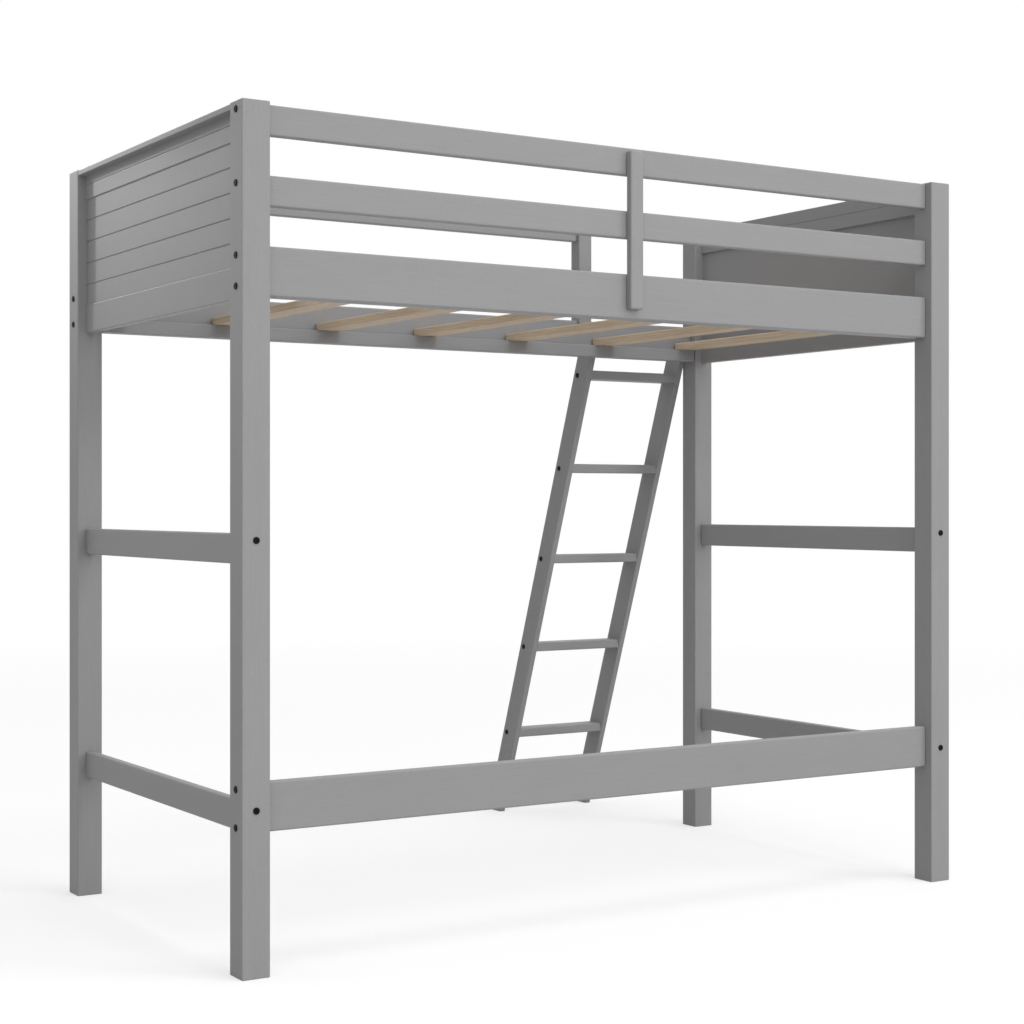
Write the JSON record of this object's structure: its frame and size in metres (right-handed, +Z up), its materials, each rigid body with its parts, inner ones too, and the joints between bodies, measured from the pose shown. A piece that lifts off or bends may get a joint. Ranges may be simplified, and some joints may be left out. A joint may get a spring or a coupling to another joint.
{
  "type": "loft bed",
  "caption": "Painted wooden loft bed: square posts, guard rails, planked head and foot boards, slats on ledgers and a leaning ladder at the back.",
  "frame": {"origin": "on the floor, at the centre of the whole object's bounding box, ladder and bolt heads included", "axes": "+X along the bed from the headboard to the footboard, +Y from the front guard to the ladder, +Z up"},
  "size_m": [2.025, 1.659, 1.835],
  "materials": {
    "grey_paint": "satin grey paint over solid wood, faint grain",
    "slat_wood": "bare sanded softwood",
    "dowel_wood": "bare beech",
    "black_steel": "black oxide",
    "zinc_steel": "zinc plated"
  },
  "bodies": {
    "root": {"back_ledger": "grey_paint", "back_left_post": "grey_paint", "back_middle_guard_rail": "grey_paint", "back_right_post": "grey_paint", "back_side_rail": "grey_paint", "back_top_guard_rail": "grey_paint", "brace_screws": "zinc_steel", "dowels": "dowel_wood", "footboard_cap": "grey_paint", "footboard_lower_rail": "grey_paint", "footboard_panel": "grey_paint", "footboard_upper_rail": "grey_paint", "front_guard_brace": "grey_paint", "front_ledger": "grey_paint", "front_left_post": "grey_paint", "front_lower_rail": "grey_paint", "front_middle_guard_rail": "grey_paint", "front_right_post": "grey_paint", "front_side_rail": "grey_paint", "front_top_guard_rail": "grey_paint", "gate_post": "grey_paint", "headboard_cap": "grey_paint", "headboard_lower_rail": "grey_paint", "headboard_panel": "grey_paint", "headboard_upper_rail": "grey_paint", "ladder_bolts": "black_steel", "ladder_left_stile": "grey_paint", "ladder_right_stile": "grey_paint", "ladder_rung_1": "grey_paint", "ladder_rung_2": "grey_paint", "ladder_rung_3": "grey_paint", "ladder_rung_4": "grey_paint", "ladder_rung_5": "grey_paint", "ladder_screws": "zinc_steel", "left_end_lower_rail": "grey_paint", "left_end_middle_rail": "grey_paint", "rail_bolts": "black_steel", "right_end_lower_rail": "grey_paint", "right_end_middle_rail": "grey_paint", "slat_1": "slat_wood", "slat_2": "slat_wood", "slat_3": "slat_wood", "slat_4": "slat_wood", "slat_5": "slat_wood", "slat_6": "slat_wood", "slat_7": "slat_wood", "slat_screws": "zinc_steel", "threaded_inserts": "zinc_steel"}
  },
  "joints": []
}
